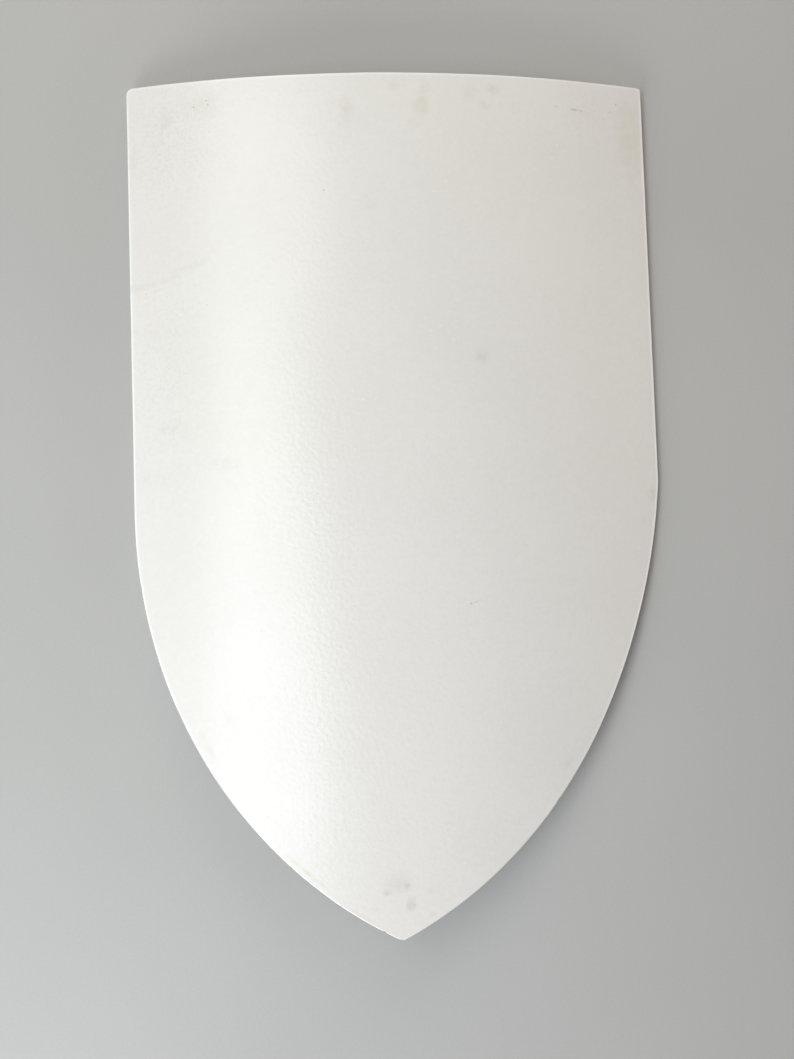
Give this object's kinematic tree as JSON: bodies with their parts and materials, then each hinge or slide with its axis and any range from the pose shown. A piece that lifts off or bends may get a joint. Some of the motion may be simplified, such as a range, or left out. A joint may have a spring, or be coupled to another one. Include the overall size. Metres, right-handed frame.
{
  "type": "heater shield",
  "caption": "Blank heater shield: a white-painted board bent about its length, with a near-straight top, straight upper sides and lower curves meeting in a blunt point.",
  "frame": {"origin": "on the ground, under the middle of the bounding box, with the shield lying hollow side down; the crest of its bend runs over x = 0", "axes": "+X across to the shield's right as seen from the front, +Y up it from the point to the top edge, +Z out of its face, away from the ground"},
  "size_m": [0.484, 0.7592, 0.0458],
  "materials": {
    "white_paint": "bent plywood under white satin paint, rolled on, handled and lightly stained"
  },
  "bodies": {
    "root": {"shield_board": "white_paint"}
  },
  "joints": []
}
